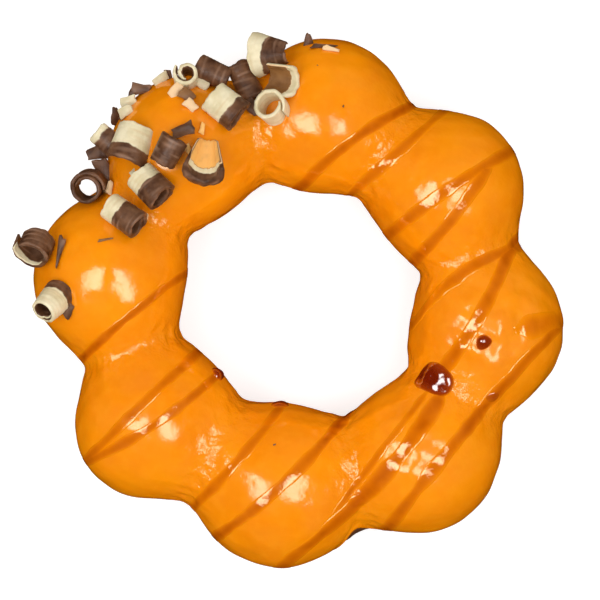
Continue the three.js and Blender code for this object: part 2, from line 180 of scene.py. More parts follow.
CURLS = (
    dict(around=96.3, over=37, lift=3.0, heading=5, pitch=26, spin=-40, turns=0.7,
         front=1.9, back=4.5, length=6.4, slot="dark", cream=(-2, -0.25), lining=CREAM, slant=-0.3),
    dict(around=111.1, over=75, lift=2.6, heading=-38, pitch=11, spin=250, turns=1.25,
         front=3.5, back=3.3, length=6.2, slot="cream", cream=(-2, 0.3), lining=DARK, slant=-0.1),
    dict(around=168.2, over=29.5, lift=2.8, heading=248, pitch=38, spin=190, turns=0.95,
         front=3.5, back=3.6, length=4.2, slot="dark", cream=DARK, lining=(1.0, 9), slant=1),
    dict(around=154.2, over=84.5, lift=2.3, heading=-35, pitch=23, spin=250, turns=1.3,
         front=3.1, back=2.9, length=6.9, slot="dark", cream=(-2, -0.2), lining=DARK),
    dict(around=142.6, over=90.5, lift=2.6, heading=-45, pitch=20, spin=250, turns=1.3,
         front=3.4, back=3.2, length=6.2, slot="dark", cream=(-2, -0.1), lining=DARK),
    dict(around=137.3, over=55, lift=0.4, heading=-112, pitch=15, spin=-15, turns=0.58,
         front=3.9, back=3.8, length=7.0, slot="cream", cream=(-2, 0.2), lining=DARK),
    # curl_07: the amber on its cream lining is painted orange light reflected from the glaze
    dict(around=122.2, over=99.5, lift=3.3, heading=-96, pitch=36, spin=165, turns=0.58,
         front=4.3, back=1.7, length=7.8, slot="cream", cream=DARK, lining=(-2, 0.62),
         thickness=1.4, stain=(1, 0.36)),
    dict(around=151.4, over=31, lift=2.6, heading=225, pitch=74, spin=40, turns=1.5,
         front=3.2, back=3.1, length=4.2, slot="dark", cream=DARK, lining=DARK, thickness=0.65),
    dict(around=180, over=46.5, lift=2.3, heading=228, pitch=42, spin=265, turns=1.3,
         front=2.6, back=3.4, length=6.0, slot="cream", cream=(-0.3, 2), lining=DARK),
    dict(around=98.3, over=85, lift=1.9, heading=135, pitch=64, spin=112, turns=1.12,
         front=3.1, back=2.8, length=4.8, slot="cream", cream=CREAM, lining=CREAM, thickness=0.7),
    # curl_11: the milk brown on its cream lining is painted shade inside the scoop
    dict(around=95.8, over=62.5, lift=2.9, heading=-10, pitch=34, spin=165, turns=0.58,
         front=3.1, back=2.8, length=6.0, slot="cream", cream=CREAM, lining=CREAM, stain=(0.5, 0.55)),
    dict(around=116.6, over=35, lift=1.8, heading=100, pitch=72, spin=-50, turns=1.35,
         front=2.5, back=2.5, length=4.6, slot="cream", cream=CREAM, lining=DARK, thickness=0.82),
    dict(around=111.0, over=34, lift=2.2, heading=-24, pitch=5, spin=-40, turns=0.8,
         front=2.3, back=2.6, length=6.2, slot="dark", cream=DARK, lining=DARK),
    dict(around=104.3, over=45.5, lift=1.8, heading=-65, pitch=8, spin=-60, turns=0.9,
         front=2.6, back=2.2, length=7.0, slot="dark", cream=DARK, lining=DARK),
    dict(around=130.9, over=84, lift=2.2, heading=62, pitch=5, spin=240, turns=1.2,
         front=3.0, back=2.7, length=5.2, slot="dark", cream=DARK, lining=DARK),
    dict(around=139.7, over=31.5, lift=2.2, heading=140, pitch=0, spin=-60, turns=0.9,
         front=2.3, back=2.5, length=4.8, slot="dark", cream=(0.5, 2), lining=DARK),
)

# Splinters: degrees round and over, lift, heading, pitch, half length, half width, how blunt the front end
# is, how cream, from -1 to 1, and the value of stain and painted light as for the curls, with 0.25 as warm
# cream
SPLINTER_THICKNESS = 0.8
THINNING = 0.8  # a splinter whose half length is less than 1 over this is thinner
SPLINTER_CORNERS = ((-0.95, -0.65), (0.8, -0.75), (0.95, 0.65), (-0.7, 0.8))  # of half length and width
CORNER_STEPS = np.array((0.08, 0.36, 0.64, 0.92))[:, None]  # points along each side, so corners are worn
SPLINTER_LEVELS = ((-0.5, 0.86), (-0.3, 1.0), (0.3, 1.0), (0.5, 0.86))  # shares of thickness and outline
SPLINTER_RAGGED = 0.12
SPLINTER_BEND = 0.25
SPLINTER_TONE = 2.0
SPLINTER_SHADING = 1.2  # change of tone along a splinter that is part cream
SPLINTER_SEED = 70
SPLINTER_STREAK_SEED = 500
SPLINTERS = (
    (142.6, 9, 1.3, 198, 0, 3.2, 2.9, 0.35, -1, 0),
    (134.6, 10, 0.8, 100, 25, 2.0, 1.5, 0.35, -1, 0),
    (132.4, 23, 0.4, 30, 12, 1.5, 1.3, 0.9, 1, 0),
    (133.3, 20, 0.4, 60, 20, 1.3, 0.5, 0.6, -1, 0),
    (130.5, 14, 0.5, 25, 15, 1.6, 1.4, 0.8, 1, 0),
    (126.9, 12, 0.7, 5, 10, 2.0, 1.7, 0.5, -1, 0),
    (122.0, 13, 0.5, 45, 10, 1.8, 1.4, 0.7, 1, 0),
    (120.0, 9, 0.6, -65, 0, 1.2, 0.8, 0.4, -1, 0),
    (120.3, 42.5, 0.7, 55, 5, 1.7, 1.3, 0.8, 1, 0.25),
    (118.6, 51, 0.5, -30, 5, 1.6, 1.5, 0.8, -1, 0.5),
    (119.1, 61, 0.4, -40, 0, 1.4, 1.3, 0.8, 1, 0.25),
    (114.2, 39, 0.6, -30, 5, 1.6, 1.4, 0.8, 1, 0),
    (124.3, 76.5, 0.5, 22, 10, 2.3, 1.1, 1.5, -1, 0),
    (88.0, 20, 0.5, 97, 10, 1.7, 1.6, 0.35, -1, 0),
    (84.6, 27.5, 0.2, 0, 0, 2.6, 0.6, 0.3, -1, 0),
    (83.0, 31.5, 0.2, -12, 0, 1.6, 0.8, 0.4, 1, 0.25),
    (149.0, 45.0, 0.3, 80, 0, 1.3, 0.9, 0.7, 1, 0.25),
    (182.0, 54, 0.3, 60, 10, 1.5, 1.4, 0.6, -1, 0),
    (168.4, 43.5, 0.2, 259, 3, 3.3, 1.0, 0.15, -1, 0),
    (103.9, 76, 0.4, -45, 0, 1.8, 1.5, 0.9, -1, 0),
    (146.2, 22, 0.8, 118, 10, 2.6, 2.1, 0.9, -1, 0),
)

# Chips: smaller splinters, and specks, as degrees round and over, heading, half length, half width, how
# cream, and the value of stain and painted light
CHIP_LIFT = 0.05
CHIP_BLUNTNESS = 0.6
CHIP_SEED = 300
CHIPS = (
    (149.3, 28, 80, 1.2, 0.4, 1, 0),
    (141.9, 68, 50, 0.9, 0.5, 1, 0),
    (119.4, 82.5, 80, 1.2, 0.7, 1, 1),
    (126.3, 90.5, -60, 1.3, 0.9, 1, 1),
    (165.9, 40, 80, 1.2, 0.35, 0.6, 0),
    (150.9, 104, 70, 0.6, 0.5, 1, 0.25),
    (162.3, 77, 12, 1.5, 0.35, 1, 0.5),
    (259.9, 124, 20, 0.3, 0.2, -1, 0),
    (85.6, 50, 140, 0.3, 0.2, -1, 0),
    (77.5, 81, 70, 0.25, 0.2, -1, 0),
)

# Camera: straight above, its view as wide as the picture shows at the level where the balls are widest
VIEW_WIDTH = 103.37
VIEW_SHIFT = 0.345  # from the hole's axis up the picture to its middle
CAMERA_DISTANCE = 2000.0
SENSOR = 36.0

# Lights: two panels overhead, each as its edges left, right, down and up in degrees from straight above.
# Each is made of layers, one within the other, so that its edges are soft.
PANEL_HEIGHT = 600.0
PANELS = ((-38.5, -13, -24.5, 8.5), (6, 29.5, -24.5, 8.5))
PANEL_LAYERS = 3
PANEL_INSET = 2.5
LAYER_GAP = 2.0
PANEL_RADIANCE = 1.4  # of one layer
SKY_COLOUR = (0.93, 0.93, 0.93, 1)
GROUND_GLOW = (0.5, 0.48, 0.44, 1)
HORIZON = (0.48, 0.6)  # between straight down, 0, and straight up, 1
FLOOR_HALF = 3000.0


def srgb(red, green, blue):
    """A colour given as 0 to 255 on a screen, as the numbers that a shader takes."""
    share = np.array((red, green, blue)) / 255
    linear = np.where(share <= 0.04045, share / 12.92, ((share + 0.055) / 1.055) ** 2.4)
    return (*linear, 1.0)


def smooth(low, high, values):
    """0 below low, 1 above high, and an even slope between them."""
    share = np.clip((values - low) / (high - low), 0, 1)
    return share * share * (3 - 2 * share)


def unit(vectors):
    """The same directions at a length of 1."""
    return vectors / np.linalg.norm(vectors, axis=-1, keepdims=True)


def ripple(points, wavelength, seed):
    """Even, seeded unevenness of about that wavelength, mostly between -2 and 2."""
    rng = np.random.default_rng(seed)
    directions = unit(rng.normal(size=(WAVES, 3)))
    lengths = wavelength * rng.uniform(*WAVE_SPREAD, WAVES)
    phases = rng.uniform(0, 2 * np.pi, WAVES)
    angles = points @ (directions / lengths[:, None]).T * 2 * np.pi + phases
    return np.sin(angles).sum(-1) / np.sqrt(WAVES / 2)


def unevenness(points, rows):
    """Ripples added up, from rows of height, wavelength and seed."""
    return sum(height * ripple(points, wavelength, seed) for height, wavelength, seed in rows)


def seeded(rows, seed):
    """Rows of height and wavelength, each with a seed of its own from that one on."""
    return [(*row, seed + k) for k, row in enumerate(rows)]


# The ring's surface

def pulls(points):
    """How strongly each ball holds each point: the ring's surface is where they add up to 1."""
    held = []
    for around, outer, inner, half, crest in BALLS:
        angle = np.radians(around)
        across, high = (outer - inner) / 2, crest - MIDDLE_HEIGHT
        u = points[..., 0] * np.cos(angle) + points[..., 1] * np.sin(angle) - (outer + inner) / 2
        v = points[..., 1] * np.cos(angle) - points[..., 0] * np.sin(angle)
        w = points[..., 2] - MIDDLE_HEIGHT
        scaled = np.sqrt((u / across) ** 2 + (v / half) ** 2 + (w / high) ** 2)
        slope = np.sqrt((u / across**2) ** 2 + (v / half**2) ** 2 + (w / high**2) ** 2)
        held.append(np.exp(-scaled * (scaled - 1) / np.maximum(slope, 1e-9) / BLEND))
    return np.stack(held, -1)


def outside(points):
    """Distance outside the ring."""
    return -BLEND * np.log(pulls(points).sum(-1))


def neck_share(points):
    """1 in the neck between two balls, 0 at the middle of a ball."""
    shares = np.sort(pulls(points), -1)[..., -2:]
    shares = shares / shares.sum(-1, keepdims=True)
    return 4 * shares[..., 0] * shares[..., 1]


def normals_at(points, step=0.05):
    """Directions straight out of the ring."""
    slopes = [outside(points + step * axis) - outside(points - step * axis) for axis in np.eye(3)]
    return unit(np.stack(slopes, -1))


def leave(starts, directions):
    """Where rays from inside the dough come out of it."""
    near = np.zeros(starts.shape[:-1])
    for _ in range(RAY_STEPS):
        ahead = starts + directions * (near + RAY_STEP)[..., None]
        near = near + RAY_STEP * (outside(ahead) < 0)
    far = near + RAY_STEP
    for _ in range(HALVINGS):
        middle = (near + far) / 2
        inside = outside(starts + directions * middle[..., None]) < 0
        near, far = np.where(inside, middle, near), np.where(inside, far, middle)
    return starts + directions * near[..., None]


def directions_at(around, over):
    """Directions given in degrees round from +X and up from level."""
    a, o = np.radians(around), np.radians(over)
    return np.stack((np.cos(o) * np.cos(a), np.cos(o) * np.sin(a), np.sin(o)), -1)


def surface_at(around, over):
    """Points on the bare ring, in degrees round it and over it from its outer side."""
    around, over = np.broadcast_arrays(np.asarray(around, float), np.asarray(over, float))
    a = np.radians(around)
    middle = np.full(a.shape, MIDDLE_HEIGHT)
    starts = np.stack((RING_RADIUS * np.cos(a), RING_RADIUS * np.sin(a), middle), -1)
    return leave(starts, directions_at(around, over))


def rumpled_share(points):
    """How rumpled the glaze is at each point."""
    return sum(strength * np.exp(-(((points[..., :2] - (x, y)) / radius) ** 2).sum(-1))
               for x, y, radius, strength in RUMPLES)


def glaze_swell(points):
    """How far the glaze stands out from the bare ring: slow lumps, wrinkles in the necks, and rumples."""
    necks = neck_share(points)
    wrinkles = necks**WRINKLE_SHARPNESS * unevenness(points, WRINKLES)
    rumples = rumpled_share(points) * unevenness(points, RUMPLE_WAVES)
    crease = CREASE_DEPTH * necks**CREASE_SHARPNESS
    return unevenness(points, LUMPS) + wrinkles + rumples - crease


def settle(points):
    """Points near the ring, brought onto the glaze, and the normals there."""
    normals = normals_at(points)
    points = points - normals * outside(points)[..., None]
    return points + normals * glaze_swell(points)[..., None], normals


# Meshes

def grid_faces(loops, count, closed):
    """Quads between neighbouring loops of count points each."""
    rows = np.arange(loops if closed else loops - 1)[:, None]
    here, ahead = rows * count, (rows + 1) % loops * count
    j = np.arange(count)[None, :]
    k = (j + 1) % count
    return np.stack((here + j, ahead + j, ahead + k, here + k), -1).reshape(-1, 4).tolist()


def tube_faces(loops, count):
    """An open tube with its ends closed."""
    ends = [list(range(count)), list(range(loops * count - 1, (loops - 1) * count - 1, -1))]
    return grid_faces(loops, count, False) + ends


def join(parts):
    """Several (points, faces, values) as one."""
    points, faces, values, start = [], [], [], 0
    for part_points, part_faces, part_values in parts:
        points.append(part_points)
        values.append(part_values)
        faces += [[start + corner for corner in face] for face in part_faces]
        start += len(part_points)
    return np.concatenate(points), faces, np.concatenate(values)


def show(name, points, faces, values, keys, material, slot, *stands_for):
    """Makes a piece of the part, from points in millimetres and a column of values for each key."""
    mesh = bpy.data.meshes.new(name)
    mesh.from_pydata(((points + HOLE_AXIS) * MM).tolist(), [], faces)
    mesh.shade_smooth()
    for key, numbers in zip(keys, values.T):
        attribute = mesh.attributes.new(key, "FLOAT", "POINT")
        attribute.data.foreach_set("value", np.ascontiguousarray(numbers, np.float32))
    mesh.materials.append(material)
    piece = bpy.data.objects.new(name, mesh)
    bpy.context.scene.collection.objects.link(piece)
    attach(piece, "root")
    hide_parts(*stands_for)


# Dough and glaze

def rims(around):
    """Where the glaze ends on the outer and on the inner side, in degrees over."""
    place = np.stack((np.cos(np.radians(around)), np.sin(np.radians(around)), 0 * around), -1) * RING_RADIUS
    patch = BARE_PATCH_RISE * np.exp(-((around - BARE_PATCH) / BARE_PATCH_SPAN) ** 2)
    outer = RIM_OUTER + RIM_WAVE * unevenness(place, OUTER_RIM_WAVES) + patch
    inner = RIM_INNER + RIM_WAVE * unevenness(place, INNER_RIM_WAVES)
    return outer, inner


def make_glaze(material):
    """A shell over the top of the ring that swells to a lip and thins out at its rim."""
    around = np.arange(COLUMNS) * 360 / COLUMNS
    outer, inner = rims(around)
    share = np.linspace(0, 1, GLAZE_ROWS)
    over = outer[:, None] + (inner - outer)[:, None] * share
    base = surface_at(around[:, None], over)
    normals = normals_at(base)
    from_rim = np.minimum(over - outer[:, None], inner[:, None] - over)
    full = 1 - np.exp(-from_rim / LIP_SPAN)
    lip = RIM_LIP * np.exp(-((from_rim - LIP_SPAN) / LIP_SPAN) ** 2)
    front = base + normals * (full * glaze_swell(base) + lip * full)[..., None]
    back_rows = np.linspace(GLAZE_ROWS - 2, 1, GLAZE_BACK_ROWS).astype(int)
    back = base[:, back_rows] - normals[:, back_rows] * GLAZE_DEPTH
    loops = np.concatenate((front, back), 1)
    points = loops.reshape(-1, 3)
    values = np.column_stack((neck_share(points) ** 2, rumpled_share(points)))
    faces = grid_faces(COLUMNS, loops.shape[1], True)
    show("glaze", points, faces, values, ("neck", "rumpled"), material, "glaze", "doughnut")


def make_dough(material):
    """The fried ring, bare below the glaze and sunk under it, with flat spots where it rests."""
    around = np.arange(COLUMNS) * 360 / COLUMNS
    outer, inner = rims(around)
    over = np.broadcast_to(np.arange(DOUGH_ROWS) * 360 / DOUGH_ROWS - 90, (COLUMNS, DOUGH_ROWS))
    base = surface_at(around[:, None], over)
    under_glaze = np.minimum(over - outer[:, None], inner[:, None] - over)
    sunk = DOUGH_SUNK * smooth(0, DOUGH_SUNK_SPAN, under_glaze)
    raised = unevenness(base, DOUGH_BUMPS) - sunk - DOUGH_GAP
    points = base + normals_at(base) * raised[..., None]
    points[..., 2] = np.maximum(points[..., 2], 0)
    # where the bare dough at the neck is darkened with painted shade
    nearness = np.exp(-((around[:, None] - BARE_PATCH) / (2 * BARE_PATCH_SPAN)) ** 2)
    painted_patch_shade = (nearness * (over < PATCH_SHADE_TOP)).reshape(-1, 1)
    faces = grid_faces(COLUMNS, DOUGH_ROWS, True)
    show("dough", points.reshape(-1, 3), faces, painted_patch_shade, ("painted_patch_shade",), material, "dough", "doughnut")


# Caramel

def end_angle(middle, end):
    """How far from the vertical a line of drizzle runs towards one of its ends."""
    if outside(end) > -EDGE_MARGIN:
        return OVER_EDGE
    top = leave(end, UP)
    return np.arctan2(np.linalg.norm(end - middle), top[2] - MIDDLE_HEIGHT)


def drizzle_path(start, end, bow):
    """Points along a line over the ring from above one plan point to above the other."""
    start, end = (np.array((*point, MIDDLE_HEIGHT)) for point in (start, end))
    middle = (start + end) / 2
    half_length = np.linalg.norm(end - start) / 2
    along = unit(end - start)
    sideways = np.array((-along[1], along[0], 0))
    steps = int(2 * (half_length + DRIZZLE_SLACK) / DRIZZLE_STEP)
    angles = np.linspace(-end_angle(middle, start), end_angle(middle, end), steps)
    directions = np.sin(angles)[:, None] * along + np.cos(angles)[:, None] * UP
    straight = leave(np.broadcast_to(middle, directions.shape), directions)
    share = (straight - middle) @ along / half_length
    shifted = middle + np.maximum(0, 1 - share**2)[:, None] * bow * sideways
    return leave(shifted, directions)


def drizzle(start, end, bow, width, strength, seed):
    """One line: a low rounded ribbon that lies on the glaze and thins towards its ends."""
    path = drizzle_path(start, end, bow)
    ahead = np.gradient(path, axis=0)
    travelled = np.cumsum(np.linalg.norm(ahead, axis=1))
    to_end = np.minimum(travelled, travelled[-1] - travelled)
    fade = END_SHARE + (1 - END_SHARE) * smooth(0, DRIZZLE_FADE, to_end)
    swelling = 1 + unevenness(path, seeded(DRIZZLE_WAVES, seed))
    half_width = DRIZZLE_HALF_WIDTH * width * fade * swelling
    side = unit(np.cross(normals_at(path), ahead))
    across = np.sin(np.linspace(-1, 1, DRIZZLE_COLUMNS) * np.pi / 2)
    spread = path[:, None] + side[:, None] * (across[:, None] * half_width[:, None, None])
    ground, normals = settle(spread)
    profile = (1 - across**DRIZZLE_FLATNESS) ** DRIZZLE_SHOULDER
    level_share = STEEP_SHARE + (1 - STEEP_SHARE) * normals[..., 2]
    height = DRIZZLE_HEIGHT * fade[:, None] * profile * level_share
    top = ground + normals * (height - DRIZZLE_SINK)[..., None]
    root = ground[:, [-1, 0]] - normals[:, [-1, 0]] * DRIZZLE_ROOT
    loops = np.concatenate((top, root), 1)
    pooled = strength * fade * (POOLING[0] + POOLING[1] * neck_share(path))
    depth = np.concatenate((pooled[:, None] * (1 - across**2), np.zeros((len(path), 2))), 1)
    return loops.reshape(-1, 3), tube_faces(len(path), loops.shape[1]), depth.reshape(-1, 1)


def rotate(vector, axis, angle):
    """A vector turned about an axis."""
    return (vector * np.cos(angle) + np.cross(axis, vector) * np.sin(angle)
            + axis * np.dot(axis, vector) * (1 - np.cos(angle)))


def spot_on(around, over, turn):
    """A point on the ring with two directions along it, turned about the normal."""
    point = surface_at(around, over)
    normal = normals_at(point)
    tilt = np.arccos(np.clip(normal[2], -1, 1))
    hinge = np.cross(UP, normal)
    hinge = hinge / max(np.linalg.norm(hinge), 1e-9)
    first, second = (rotate(axis, hinge, tilt) for axis in np.eye(3)[:2])
    cosine, sine = np.cos(np.radians(turn)), np.sin(np.radians(turn))
    return point, cosine * first + sine * second, cosine * second - sine * first


def bead(around, over, long, wide, high, turn):
    """A drop of caramel, domed over the glaze. Its turn and place also set how its outline wobbles."""
    point, first, second = spot_on(around, over, turn)
    angle = np.arange(BEAD_SIDES) * 2 * np.pi / BEAD_SIDES
    radius = np.sin(np.linspace(0, np.pi / 2, BEAD_RINGS + 1)[1:])
    wobble = 1 + BEAD_WOBBLE[0] * np.sin(2 * angle + turn) + BEAD_WOBBLE[1] * np.sin(3 * angle + over)
    forward = (wobble * np.cos(angle))[:, None] * first * long
    sideways = (wobble * np.sin(angle))[:, None] * second * wide
    spread = point + radius[:, None, None] * (forward + sideways)
    ground, normals = settle(spread)
    height = np.broadcast_to(high * (1 - radius[:, None] ** 2) ** BEAD_FULLNESS, spread.shape[:2])
    domed = ground + normals * (height - BEAD_SINK)[..., None]
    tip, tip_normal = settle(point[None])
    points = np.concatenate((domed.reshape(-1, 3), tip + tip_normal * high))
    faces = grid_faces(BEAD_RINGS, BEAD_SIDES, False)
    faces += [[(j + 1) % BEAD_SIDES, BEAD_RINGS * BEAD_SIDES, j] for j in range(BEAD_SIDES)]
    faces.append(list(range(BEAD_RINGS * BEAD_SIDES - 1, (BEAD_RINGS - 1) * BEAD_SIDES - 1, -1)))
    depth = BEAD_DEPTH[0] + BEAD_DEPTH[1] * np.concatenate((height.ravel(), [high]))
    return points, faces, depth[:, None]


# Chocolate

def place_on_ring(points, around, over, lift, heading, pitch):
    """Moves points from a frame with X along heading and pitch, and Z as near upright as that lets it."""
    axis = directions_at(heading, pitch)
    side = unit(np.cross(UP, axis))
    middle = surface_at(around, over) + directions_at(around, over) * lift
    return middle + points @ np.stack((axis, side, np.cross(axis, side)))


def reach_of(cream, along, half_length):
    """How deep a point lies in a strip's cream part, in millimetres; negative where it is dark."""
    return np.minimum(along - cream[0], cream[1] - along) * half_length


def strip_outline(curl, radius, share, ragged, seed):
    """Points round a strip at each share of its roll, as places along its axis and distances from it."""
    thickness = curl.get("thickness", STRIP_THICKNESS)
    half = curl["length"] / 2 * (1 - CORNER_CUT * np.abs(2 * share - 1) ** 3 + RAGGED_ENDS * ragged)
    tips = smooth(0, TIP_SPAN, np.minimum(share, 1 - share))
    thick = thickness * (TIP_THICKNESS + (1 - TIP_THICKNESS) * tips)
    reach = radius - (thickness + ROLL_CLEARANCE) * curl["turns"] * share + RAGGED_ROLL * ragged
    edge = np.minimum(EDGE_ROUNDING[0] * thick, EDGE_ROUNDING[1])
    outer_x = np.linspace(-1, 1, STRIP_COLUMNS) * (half - edge)
    ridge_place = np.stack((outer_x, RIDGE_DRIFT * share + 0 * outer_x, 0 * outer_x), -1)
    ridges = RIDGE_HEIGHT * ripple(ridge_place, RIDGE_WIDTH, seed)
    middle = reach - thick / 2
    x = np.concatenate((outer_x, half, outer_x[:, ::-1], -half), 1)
    distance = np.concatenate((reach + ridges, middle, (reach - thick) + 0 * outer_x, middle), 1)
    return x, distance


def strip_values(curl, x, share, rolled, seed):
    """Tone, stain and painted light, and streak of each point of a strip, at x along its axis and share
    along its roll.
    """
    half_length = curl["length"] / 2
    inner_face = np.concatenate((np.zeros(STRIP_COLUMNS + 1), np.ones(STRIP_COLUMNS), np.zeros(1))) + 0 * x
    along = x / half_length - curl.get("slant", 0) * (2 * share - 1)
    lining, face = (reach_of(curl[key], along, half_length) for key in ("lining", "cream"))
    tone = np.where(inner_face, lining, face)
    amount, up_to = curl.get("stain", (0, 0))
    stain = inner_face * amount * (along < up_to)
    streak_place = np.stack((x, STREAK_STRETCH * rolled + 0 * x, LINING_SHIFT * inner_face), -1)
    streak = ripple(streak_place, STREAK_WIDTH, seed)
    return np.stack((tone, stain, streak), -1).reshape(-1, 3)


def curl_strip(curl, seed):
    """A strip rolled round its axis: its points, its faces and its values for the chocolate."""
    front, back, turns = curl["front"], curl["back"], curl["turns"]
    radius = max(front, back)
    steps = int(round(360 * turns / ROLL_STEP))
    share = np.linspace(0, 1, steps + 1)[:, None]
    angle = np.radians(curl["spin"] + 360 * turns * share)
    place = np.concatenate((np.cos(angle), np.sin(angle), 2 * share), 1) * radius
    ragged = unevenness(place, seeded(STRIP_WAVES, seed))[:, None]
    x, distance = strip_outline(curl, radius, share, ragged, seed + 2)
    taper = (back + (front - back) * (x / curl["length"] + 0.5)) / radius
    local = np.stack((x, distance * taper * np.cos(angle), distance * taper * np.sin(angle)), -1)
    points = place_on_ring(local.reshape(-1, 3), *(curl[key] for key in PLACE_KEYS))
    values = strip_values(curl, x, share, radius * angle, seed + 3)
    return points, tube_faces(steps + 1, x.shape[1]), values


def splinter(around, over, lift, heading, pitch, long, wide, blunt, cream, stain, seed):
    """A four-cornered flake with worn corners, stuck in the glaze."""
    rng = np.random.default_rng(seed)
    corners = np.array(SPLINTER_CORNERS)
    corners[:, 1] *= np.where(corners[:, 0] > 0, blunt, 1)
    corners = corners * (long, wide)
    sides = zip(corners, np.roll(corners, -1, axis=0))
    outline = np.concatenate([corner + (following - corner) * CORNER_STEPS for corner, following in sides])
    outline = outline * (1 + rng.uniform(-SPLINTER_RAGGED, SPLINTER_RAGGED, (len(outline), 1)))
    thickness = SPLINTER_THICKNESS * min(1, THINNING * long)
    loops = [np.column_stack((outline * size, np.full(len(outline), level * thickness)))
             for level, size in SPLINTER_LEVELS]
    local = np.concatenate(loops)
    streak = ripple(local * (STREAK_STRETCH, 1, 1), STREAK_WIDTH, seed + SPLINTER_STREAK_SEED)
    local[:, 2] += SPLINTER_BEND * long * (local[:, 0] / long) ** 2
    points = place_on_ring(local, around, over, lift, heading, pitch)
    tone = cream * SPLINTER_TONE + local[:, 0] * (1 - abs(cream)) * SPLINTER_SHADING
    faces = [face[::-1] for face in tube_faces(len(SPLINTER_LEVELS), len(outline))]
    return points, faces, np.column_stack((tone, stain + 0 * tone, streak))


def chip(around, over, heading, long, wide, cream, stain, seed):
    """A small splinter lying on the glaze."""
    return splinter(around, over, CHIP_LIFT, heading, 0, long, wide, CHIP_BLUNTNESS, cream, stain, seed)


# Materials

class Recipe:
    """A material being put together from nodes."""

    def __init__(self, name):
        self.material = bpy.data.materials.new(name)
        self.material.use_nodes = True
        self.tree = self.material.node_tree
        self.shader = self.tree.nodes["Principled BSDF"]
        self.place = self.node("ShaderNodeTexCoord").outputs["Object"]

    def node(self, kind, **settings):
        """A new node with those settings."""
        made = self.tree.nodes.new(kind)
        for key, value in settings.items():
            setattr(made, key, value)
        return made

    def put(self, socket, value):
        """Sets an input to a value or to another node's output."""
        if isinstance(value, bpy.types.NodeSocket):
            self.tree.links.new(value, socket)
        else:
            socket.default_value = value

    def feed(self, node, **inputs):
        """Sets a node's inputs, by name with _ for a space."""
        for key, value in inputs.items():
            self.put(node.inputs[key.replace("_", " ")], value)
        return node

    def noise(self, wavelength, detail=2.0):
        """Unevenness of about that wavelength in millimetres."""
        made = self.node("ShaderNodeTexNoise")
        self.feed(made, Vector=self.place, Scale=1 / (wavelength * MM), Detail=detail)
        return made.outputs[0]

    def ramp(self, value, *stops):
        """Colours at places from 0 to 1."""
        made = self.node("ShaderNodeValToRGB")
        elements = made.color_ramp.elements
        while len(elements) < len(stops):
            elements.new(0.5)
        for element, (place, colour) in zip(elements, stops):
            element.position = place
            element.color = colour
        self.feed(made, Fac=value)
        return made.outputs[0]

    def span(self, value, low, high, to_low=0.0, to_high=1.0):
        """Maps low to to_low and high to to_high, with an even slope between them."""
        made = self.node("ShaderNodeMapRange")
        self.feed(made, Value=value, From_Min=low, From_Max=high, To_Min=to_low, To_Max=to_high)
        return made.outputs[0]

    def math(self, kind, first, second):
        """One sum or product."""
        made = self.node("ShaderNodeMath", operation=kind)
        for socket, value in zip(made.inputs, (first, second)):
            self.put(socket, value)
        return made.outputs[0]

    def mix(self, share, first, second):
        """The first colour where share is 0, the second where it is 1."""
        made = self.node("ShaderNodeMix", data_type="RGBA")
        for socket, value in zip((made.inputs[0], made.inputs[6], made.inputs[7]), (share, first, second)):
            self.put(socket, value)
        return made.outputs[2]

    def value(self, name):
        """What the mesh holds under that name."""
        return self.node("ShaderNodeAttribute", attribute_name=name).outputs["Fac"]

    def height(self):
        """Millimetres above what the doughnut lies on."""
        split = self.feed(self.node("ShaderNodeSeparateXYZ"), Vector=self.place)
        return self.math("DIVIDE", split.outputs[2], MM)

    def bump(self, height, millimetres, below=None):
        """Normals of a surface raised by height times that, over another bump."""
        made = self.node("ShaderNodeBump")
        self.feed(made, Height=height, Distance=millimetres * MM)
        if below is not None:
            self.feed(made, Normal=below)
        return made.outputs[0]


def glaze_material():
    """Glossy orange, cloudy, browner low on the sides, partly as thinner glaze and partly as painted shade,
    finely creased in the necks.
    """
    r = Recipe("orange_glaze")
    cloudy = r.ramp(r.noise(9, 3), (0.3, srgb(241, 132, 0)), (0.7, srgb(253, 146, 2)))
    mottled = r.mix(r.span(r.noise(1.6, 2), 0.45, 0.75, 0, 0.25), cloudy, srgb(255, 160, 24))
    # browner low on the sides: partly thinner glaze, partly painted shade where the sides turn away from
    # the light overhead
    low = r.span(r.height(), 4, 11, 0.75, 0)
    colour = r.mix(low, mottled, srgb(196, 96, 4))
    dips = r.bump(r.noise(2.2, 2), 0.10)
    creases = r.math("MULTIPLY", r.noise(0.9, 3), r.value("neck"))
    wrinkled = r.bump(creases, 0.25, dips)
    dull = r.span(r.value("rumpled"), 0, 1, 0, 0.06)
    roughness = r.math("ADD", dull, r.span(r.noise(5, 2), 0.3, 0.7, 0.1, 0.18))
    r.feed(r.shader, Base_Color=colour, Normal=wrinkled, Roughness=roughness, Specular_IOR_Level=0.9,
           IOR=1.65, Specular_Tint=(1, 1, 0.77, 1), Subsurface_Weight=0.12,
           Subsurface_Radius=(1.0, 0.35, 0.08), Subsurface_Scale=0.0015)
    return r.material


def dough_material():
    """Golden brown and speckled, and darkened with painted shade where the glaze leaves it bare at one
    neck.
    """
    r = Recipe("fried_dough")
    fried = r.ramp(r.noise(8, 4), (0.3, srgb(150, 88, 30)), (0.7, srgb(196, 132, 62)))
    speckled = r.mix(r.span(r.noise(0.8, 2), 0.55, 0.75, 0, 0.5), fried, srgb(112, 62, 22))
    # painted shade: the bare dough at the neck is darkened to stand for its shaded fold
    painted_patch_shade = r.mix(r.value("painted_patch_shade"), speckled, srgb(96, 54, 24))
    pores = r.bump(r.noise(0.7, 3), 0.15)
    roughness = r.span(r.noise(3, 2), 0.3, 0.7, 0.45, 0.65)
    r.feed(r.shader, Base_Color=painted_patch_shade, Normal=pores, Roughness=roughness)
    return r.material


